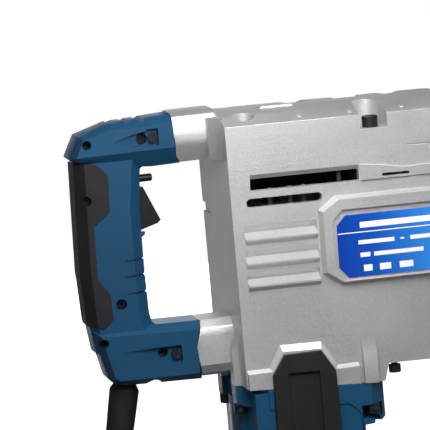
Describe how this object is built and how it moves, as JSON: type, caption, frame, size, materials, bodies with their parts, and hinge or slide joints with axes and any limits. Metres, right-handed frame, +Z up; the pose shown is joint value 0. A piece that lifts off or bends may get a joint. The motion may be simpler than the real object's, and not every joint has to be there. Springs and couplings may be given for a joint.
{
  "type": "electric demolition hammer",
  "caption": "Electric demolition hammer with a sprung D-handle, cast gear housing, hanging motor, hexagonal chisel socket and a swinging loop handle.",
  "frame": {"origin": "centre of the motor end cap's flat bottom, on the floor and on the motor's axis", "axes": "+X forward along the hammer's working axis to the chisel socket, +Y to the tool's left, +Z up"},
  "size_m": [0.933, 0.2195, 0.342],
  "materials": {
    "cast_aluminium": "sandblasted casting",
    "blue_plastic": "satin moulded plastic",
    "motor_blue": "satin moulded plastic",
    "black_rubber": "matt moulded rubber",
    "black_plastic": "satin",
    "black_steel": "black oxide",
    "bright_steel": "ground",
    "forged_steel": "forged and oiled",
    "core_steel": "laminated",
    "copper": "enamelled wire",
    "brass": "satin",
    "carbon": "graphite",
    "label_film": "printed film",
    "cable_rubber": "matt cable sheath"
  },
  "bodies": {
    "root": {"main_housing": "cast_aluminium", "upper_housing": "cast_aluminium", "nameplate": "label_film", "barrel": "cast_aluminium", "nose": "cast_aluminium", "tool_holder": "forged_steel", "nose_buffer": "black_rubber", "upper_arm": "cast_aluminium", "lower_arm": "cast_aluminium", "damper_springs": "bright_steel", "motor_cover": "motor_blue", "side_bumpers": "black_rubber", "motor_end_cap": "motor_blue", "stator_core": "core_steel", "field_coils": "copper", "motor_bearings": "bright_steel", "brush_holders": "brass", "carbon_brushes": "carbon", "brush_caps": "black_plastic", "crank_bearings": "bright_steel", "gear_plate": "cast_aluminium", "cylinder_sleeve": "bright_steel", "motor_bolts": "black_steel", "cover_bolts": "black_steel", "underside_bolts": "black_steel", "nose_bolts": "black_steel"},
    "handle": {"handle_shell_left": "blue_plastic", "handle_shell_right": "blue_plastic", "grip_pad": "black_rubber", "damper_pins": "black_steel", "switch_body": "black_plastic", "trigger_pin": "bright_steel", "cord_guard": "black_rubber", "power_cord": "cable_rubber", "cord_coil": "cable_rubber", "plug_lead": "cable_rubber", "plug_body": "black_plastic", "plug_blades": "brass", "handle_screws": "black_steel"},
    "trigger_body": {"trigger": "black_plastic"},
    "lock_body": {"lock_button": "black_plastic"},
    "armature": {"armature_core": "core_steel", "armature_windings": "copper", "commutator": "brass", "cooling_fan": "black_plastic", "motor_shaft": "bright_steel"},
    "crank": {"crank_gear": "forged_steel", "crankshaft": "forged_steel"},
    "piston_body": {"piston": "bright_steel", "wrist_pin": "bright_steel"},
    "rod_body": {"con_rod": "forged_steel"},
    "ram_body": {"ram": "forged_steel"},
    "bolt_body": {"impact_bolt": "forged_steel"},
    "retainer_body": {"tool_retainer": "black_steel", "retainer_clip": "bright_steel"},
    "loop_handle": {"handle_band": "black_steel", "loop_frame": "bright_steel", "loop_grip": "black_rubber"},
    "knob_body": {"clamp_knob": "black_plastic"}
  },
  "joints": [
    {"name": "handle_slide", "type": "slide", "parent": "root", "child": "handle", "axis": [-1, 0, 0], "range_m": [0, 0.004], "stiffness_N_per_m": 9000},
    {"name": "trigger_pull", "type": "hinge", "parent": "handle", "child": "trigger_body", "pos_m": [-0.114, 0, 0.2825], "axis": [0, 1, 0], "range_deg": [0, 12], "stiffness_Nm_per_rad": 0.6},
    {"name": "lock_press", "type": "slide", "parent": "handle", "child": "lock_body", "axis": [-1, 0, 0], "range_m": [0, 0.004], "stiffness_N_per_m": 300},
    {"name": "armature_spin", "type": "hinge", "parent": "root", "child": "armature", "pos_m": [0, 0, 0.09], "axis": [0, 0, 1], "continuous": true},
    {"name": "crank_spin", "type": "hinge", "parent": "root", "child": "crank", "pos_m": [0.0455, 0, 0.165], "axis": [0, 0, 1], "continuous": true},
    {"name": "piston_slide", "type": "slide", "parent": "root", "child": "piston_body", "axis": [1, 0, 0], "range_m": [0, 0.036]},
    {"name": "rod_swing", "type": "hinge", "parent": "piston_body", "child": "rod_body", "pos_m": [0.1015, 0, 0.238], "axis": [0, 0, 1], "range_deg": [-14, 14]},
    {"name": "ram_slide", "type": "slide", "parent": "root", "child": "ram_body", "axis": [1, 0, 0], "range_m": [-0.05, 0.003]},
    {"name": "impact_slide", "type": "slide", "parent": "root", "child": "bolt_body", "axis": [1, 0, 0], "range_m": [-0.008, 0]},
    {"name": "retainer_turn", "type": "hinge", "parent": "root", "child": "retainer_body", "pos_m": [0.532, 0, 0.256], "axis": [0, 1, 0], "range_deg": [0, 90]},
    {"name": "loop_swing", "type": "hinge", "parent": "root", "child": "loop_handle", "pos_m": [0.309, 0, 0.238], "axis": [1, 0, 0], "range_deg": [-90, 90]},
    {"name": "knob_turn", "type": "hinge", "parent": "loop_handle", "child": "knob_body", "pos_m": [0.309, 0, 0.16], "axis": [0, 0, 1], "range_deg": [0, 180]}
  ],
  "couplings": [
    {"joint": "crank_spin", "follows": "armature_spin", "ratio": -0.16667}
  ]
}
